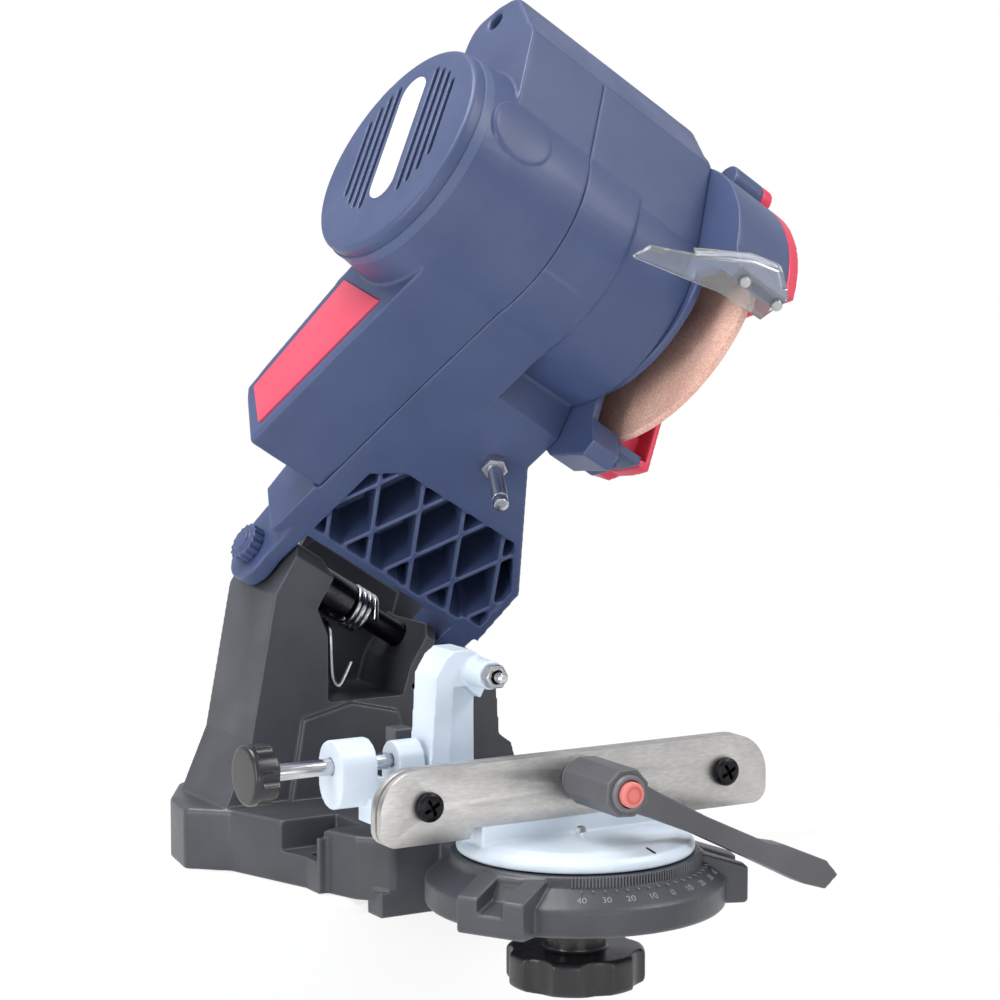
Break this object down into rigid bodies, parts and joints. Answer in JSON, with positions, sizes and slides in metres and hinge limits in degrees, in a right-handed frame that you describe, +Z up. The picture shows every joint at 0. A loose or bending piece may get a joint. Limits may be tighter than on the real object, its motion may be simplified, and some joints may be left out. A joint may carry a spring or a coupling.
{
  "type": "chainsaw sharpener",
  "caption": "Bench-mounted electric chain sharpener: tilting motor head with grinding wheel, guard and visor over a swivelling chain vise with clamp lever and chain stop.",
  "frame": {"origin": "centre of the four bench slots, on the plane that the base stands on", "axes": "+X to the right along the chain, +Y away from the user, +Z up"},
  "size_m": [0.2532, 0.2536, 0.3545],
  "materials": {
    "charcoal_plastic": "fine grained moulding",
    "light_casting": "satin die casting",
    "brushed_steel": "brushed",
    "bright_steel": "bright",
    "dark_steel": "blackened",
    "black_plastic": "satin",
    "lever_plastic": "fine grained moulding",
    "blue_plastic": "fine grained moulding",
    "red_plastic": "semi gloss",
    "button_red": "satin",
    "label_white": "gloss",
    "clear_plastic": "clear",
    "grinding_stone": "coarse bonded grain",
    "brass": "turned",
    "copper": "turned",
    "motor_iron": "lacquered laminations",
    "carbon": "dull",
    "bearing_steel": "ground",
    "aluminium": "turned"
  },
  "bodies": {
    "base": {"base_shell": "charcoal_plastic", "hinge_shaft": "dark_steel", "spring_sleeve": "black_plastic", "return_spring": "bright_steel"},
    "vise": {"vise_body": "light_casting", "rail_front": "brushed_steel", "rail_back": "brushed_steel", "rail_spacers": "bright_steel", "rail_screws": "dark_steel", "rail_nuts": "dark_steel", "clamp_nut": "dark_steel", "swivel_stud": "bright_steel"},
    "knob": {"lock_knob": "black_plastic", "knob_insert": "brass", "knob_washer": "bright_steel"},
    "lever": {"lever_handle": "lever_plastic", "lever_collar": "dark_steel", "clamp_stud": "bright_steel"},
    "button": {"release_button": "button_red"},
    "carriage": {"stop_slider": "light_casting"},
    "adjuster": {"adjuster_rod": "bright_steel", "adjuster_knob": "black_plastic"},
    "stop": {"stop_arm": "light_casting", "stop_pin": "bright_steel", "stop_nut": "bright_steel"},
    "head": {"gear_shell": "blue_plastic", "motor_shell": "blue_plastic", "motor_cap": "blue_plastic", "label_plate": "label_white", "trim_panel": "red_plastic", "shell_screws": "dark_steel", "pin_cap": "blue_plastic", "wheel_guard": "blue_plastic", "wheel_cover": "red_plastic", "cover_screws": "dark_steel", "visor": "clear_plastic", "visor_screws": "dark_steel", "stator": "motor_iron", "brush_bridge": "black_plastic", "carbon_brushes": "carbon", "bearing_front": "bearing_steel", "bearing_rear": "bearing_steel", "switch_body": "black_plastic", "terminal_block": "label_white", "cable_gland": "black_plastic", "depth_collar": "bright_steel"},
    "spindle": {"motor_shaft": "bright_steel", "rotor_core": "motor_iron", "commutator": "copper", "cooling_fan": "black_plastic", "grinding_wheel": "grinding_stone", "inner_flange": "aluminium", "outer_flange": "aluminium", "wheel_nut": "bright_steel"},
    "rocker": {"switch_rocker": "red_plastic"},
    "depth_foot": {"depth_tip": "black_plastic"},
    "depth_screw": {"depth_screw": "bright_steel"}
  },
  "joints": [
    {"name": "vise_swivel", "type": "hinge", "parent": "base", "child": "vise", "pos_m": [0, -0.143, 0], "axis": [0, 0, 1], "range_deg": [-28, 35]},
    {"name": "lock_knob_turn", "type": "hinge", "parent": "base", "child": "knob", "pos_m": [0, -0.143, 0], "axis": [0, 0, 1], "range_deg": [-180, 180]},
    {"name": "clamp_lever_turn", "type": "hinge", "parent": "vise", "child": "lever", "pos_m": [-0.001, -0.143, 0.0555], "axis": [0, -1, 0], "range_deg": [0, 30]},
    {"name": "release_button_press", "type": "slide", "parent": "lever", "child": "button", "axis": [0, 1, 0], "range_m": [0, 0.0025], "stiffness_N_per_m": 200, "springref_m": -0.002},
    {"name": "stop_slide", "type": "slide", "parent": "vise", "child": "carriage", "axis": [1, 0, 0], "range_m": [-0.005, 0.005]},
    {"name": "adjuster_turn", "type": "hinge", "parent": "carriage", "child": "adjuster", "pos_m": [-0.08, -0.109, 0.0606], "axis": [1, 0, 0], "range_deg": [-1801, 1801]},
    {"name": "stop_flip", "type": "hinge", "parent": "carriage", "child": "stop", "pos_m": [-0.034, -0.109, 0.0606], "axis": [1, 0, 0], "range_deg": [0, 40]},
    {"name": "head_lower", "type": "hinge", "parent": "base", "child": "head", "pos_m": [0.0416, 0.022, 0.06657], "axis": [0.848, 0, -0.5299], "range_deg": [0, 50], "stiffness_Nm_per_rad": 1.9, "springref_deg": -78.5},
    {"name": "wheel_spin", "type": "hinge", "parent": "head", "child": "spindle", "pos_m": [0.09095, -0.05598, 0.21065], "axis": [0.848, 0, -0.5299], "continuous": true},
    {"name": "switch_tilt", "type": "hinge", "parent": "head", "child": "rocker", "pos_m": [-0.02672, -0.00488, 0.19878], "axis": [0.848, 0, -0.5299], "range_deg": [-8, 8]},
    {"name": "depth_slide", "type": "slide", "parent": "head", "child": "depth_foot", "axis": [0.3248, 0.7902, 0.5198], "range_m": [-0.004, 0.004]},
    {"name": "depth_turn", "type": "hinge", "parent": "depth_foot", "child": "depth_screw", "pos_m": [0.02279, -0.0451, 0.15724], "axis": [0.3248, 0.7902, 0.5198], "range_deg": [-1441, 1441]}
  ],
  "couplings": [
    {"joint": "adjuster_turn", "follows": "stop_slide", "rad_per_m": 6283.2},
    {"joint": "depth_turn", "follows": "depth_slide", "rad_per_m": 6283.2}
  ]
}
